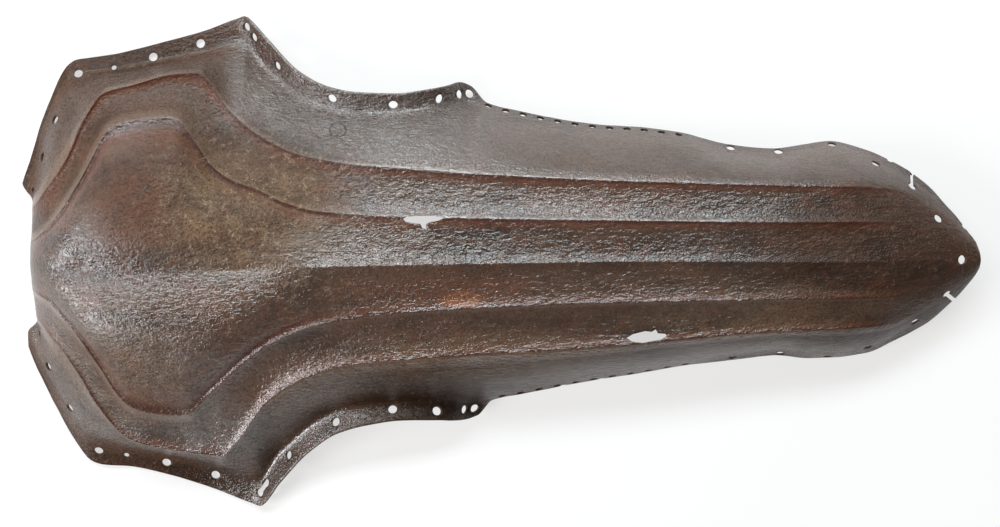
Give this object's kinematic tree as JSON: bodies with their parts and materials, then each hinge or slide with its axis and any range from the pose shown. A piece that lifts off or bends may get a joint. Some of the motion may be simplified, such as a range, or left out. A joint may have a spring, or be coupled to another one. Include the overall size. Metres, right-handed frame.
{
  "type": "chanfron",
  "caption": "Plate armour for a horse's face: one hammered iron plate with a domed brow, fluted bridge, eye notches and a pointed nose, pierced along its rim for straps and lining.",
  "frame": {"origin": "middle of the plate's bounding box on the surface it lies on, hollow side down", "axes": "+X from the poll end between the ears to the tip of the nose, +Y to the horse's left cheek, +Z out of the raised side"},
  "size_m": [0.58, 0.302, 0.0734],
  "materials": {
    "rusted_iron": "finely pitted dark brown rust patina with a dull grey sheen"
  },
  "bodies": {
    "root": {"plate": "rusted_iron"}
  },
  "joints": []
}
